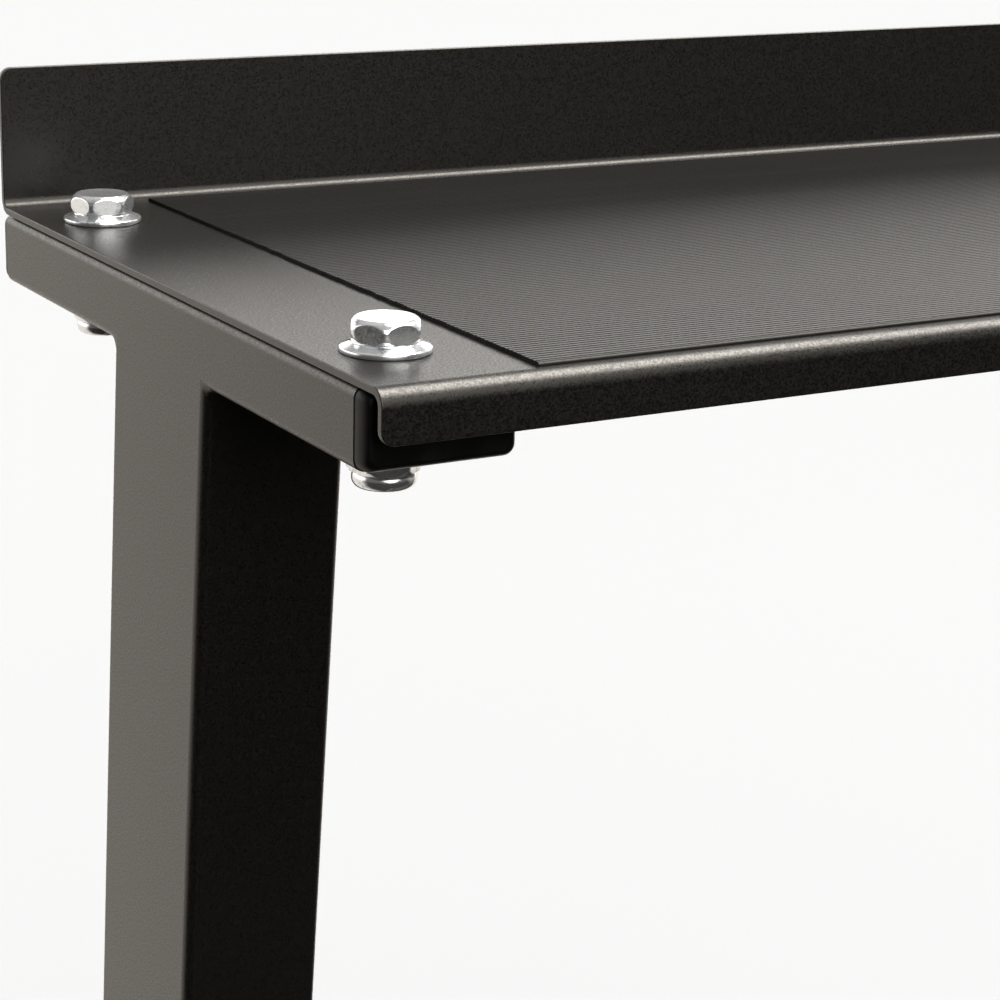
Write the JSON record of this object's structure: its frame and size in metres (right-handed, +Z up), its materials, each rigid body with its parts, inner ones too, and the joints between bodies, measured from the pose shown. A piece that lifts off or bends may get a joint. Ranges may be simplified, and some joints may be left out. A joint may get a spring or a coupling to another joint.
{
  "type": "computer desk with keyboard tray",
  "caption": "Black steel computer desk: raked side frames, a mat-topped worktop, a narrow upper shelf with a rear lip, and a keyboard tray on ball slides.",
  "frame": {"origin": "on the floor, under the middle of the desk: half way between the side frames and half way along the foot bars", "axes": "+Z up, -Y towards the user, +X to the user's right"},
  "size_m": [1, 0.65, 1.24],
  "materials": {
    "powder_coated_steel": "satin black powder coat with a fine orange peel",
    "ribbed_rubber": "black rubber with fine straight ribs across the desk's width",
    "bright_zinc": "bright zinc plate",
    "plain_zinc": "plain zinc plate",
    "slide_steel": "rolled zinc-plated strip",
    "ball_retainer": "steel balls in a pressed retainer",
    "end_cap_plastic": "moulded black plastic, fine grain",
    "foot_plastic": "moulded black plastic",
    "bumper_rubber": "soft black rubber"
  },
  "bodies": {
    "frame": {"left_post": "powder_coated_steel", "right_post": "powder_coated_steel", "left_shelf_arm": "powder_coated_steel", "right_shelf_arm": "powder_coated_steel", "left_worktop_bearer": "powder_coated_steel", "right_worktop_bearer": "powder_coated_steel", "left_foot_bar": "powder_coated_steel", "right_foot_bar": "powder_coated_steel", "shelf_arm_caps": "end_cap_plastic", "bearer_caps": "end_cap_plastic", "foot_bar_caps": "end_cap_plastic", "shelf_deck": "powder_coated_steel", "shelf_mat": "ribbed_rubber", "shelf_bolts": "bright_zinc", "shelf_lock_nuts": "bright_zinc", "worktop_deck": "powder_coated_steel", "worktop_mat": "ribbed_rubber", "worktop_bolts": "bright_zinc", "worktop_lock_nuts": "bright_zinc", "upper_beam": "powder_coated_steel", "lower_beam": "powder_coated_steel", "beam_end_plates": "powder_coated_steel", "beam_bolts": "bright_zinc", "beam_weld_nuts": "plain_zinc", "left_tray_hanger": "powder_coated_steel", "right_tray_hanger": "powder_coated_steel", "left_outer_rail": "slide_steel", "right_outer_rail": "slide_steel", "rail_screws": "plain_zinc", "rail_nuts": "plain_zinc", "slide_bumpers": "bumper_rubber", "foot_bushes": "plain_zinc"},
    "tray": {"left_inner_rail": "slide_steel", "right_inner_rail": "slide_steel", "tray_deck": "powder_coated_steel", "tray_mat": "ribbed_rubber", "tray_screws": "plain_zinc", "tray_nuts": "plain_zinc"},
    "middle_rails": {"left_middle_rail": "slide_steel", "right_middle_rail": "slide_steel"},
    "outer_balls": {"outer_ball_strips": "ball_retainer"},
    "inner_balls": {"inner_ball_strips": "ball_retainer"},
    "front_left_foot": {"front_left_foot_pad": "foot_plastic", "front_left_foot_stud": "bright_zinc"},
    "front_right_foot": {"front_right_foot_pad": "foot_plastic", "front_right_foot_stud": "bright_zinc"},
    "rear_left_foot": {"rear_left_foot_pad": "foot_plastic", "rear_left_foot_stud": "bright_zinc"},
    "rear_right_foot": {"rear_right_foot_pad": "foot_plastic", "rear_right_foot_stud": "bright_zinc"}
  },
  "joints": [
    {"name": "tray_slide", "type": "slide", "parent": "frame", "child": "tray", "axis": [0, -1, 0], "range_m": [0, 0.26]},
    {"name": "middle_rail_slide", "type": "slide", "parent": "frame", "child": "middle_rails", "axis": [0, -1, 0], "range_m": [0, 0.13]},
    {"name": "outer_ball_slide", "type": "slide", "parent": "frame", "child": "outer_balls", "axis": [0, -1, 0], "range_m": [0, 0.065]},
    {"name": "inner_ball_slide", "type": "slide", "parent": "frame", "child": "inner_balls", "axis": [0, -1, 0], "range_m": [0, 0.195]},
    {"name": "front_left_foot_adjust", "type": "slide", "parent": "frame", "child": "front_left_foot", "axis": [0, 0, -1], "range_m": [0, 0.015]},
    {"name": "front_right_foot_adjust", "type": "slide", "parent": "frame", "child": "front_right_foot", "axis": [0, 0, -1], "range_m": [0, 0.015]},
    {"name": "rear_left_foot_adjust", "type": "slide", "parent": "frame", "child": "rear_left_foot", "axis": [0, 0, -1], "range_m": [0, 0.015]},
    {"name": "rear_right_foot_adjust", "type": "slide", "parent": "frame", "child": "rear_right_foot", "axis": [0, 0, -1], "range_m": [0, 0.015]}
  ],
  "couplings": [
    {"joint": "middle_rail_slide", "follows": "tray_slide", "ratio": 0.5},
    {"joint": "outer_ball_slide", "follows": "tray_slide", "ratio": 0.25},
    {"joint": "inner_ball_slide", "follows": "tray_slide", "ratio": 0.75}
  ]
}
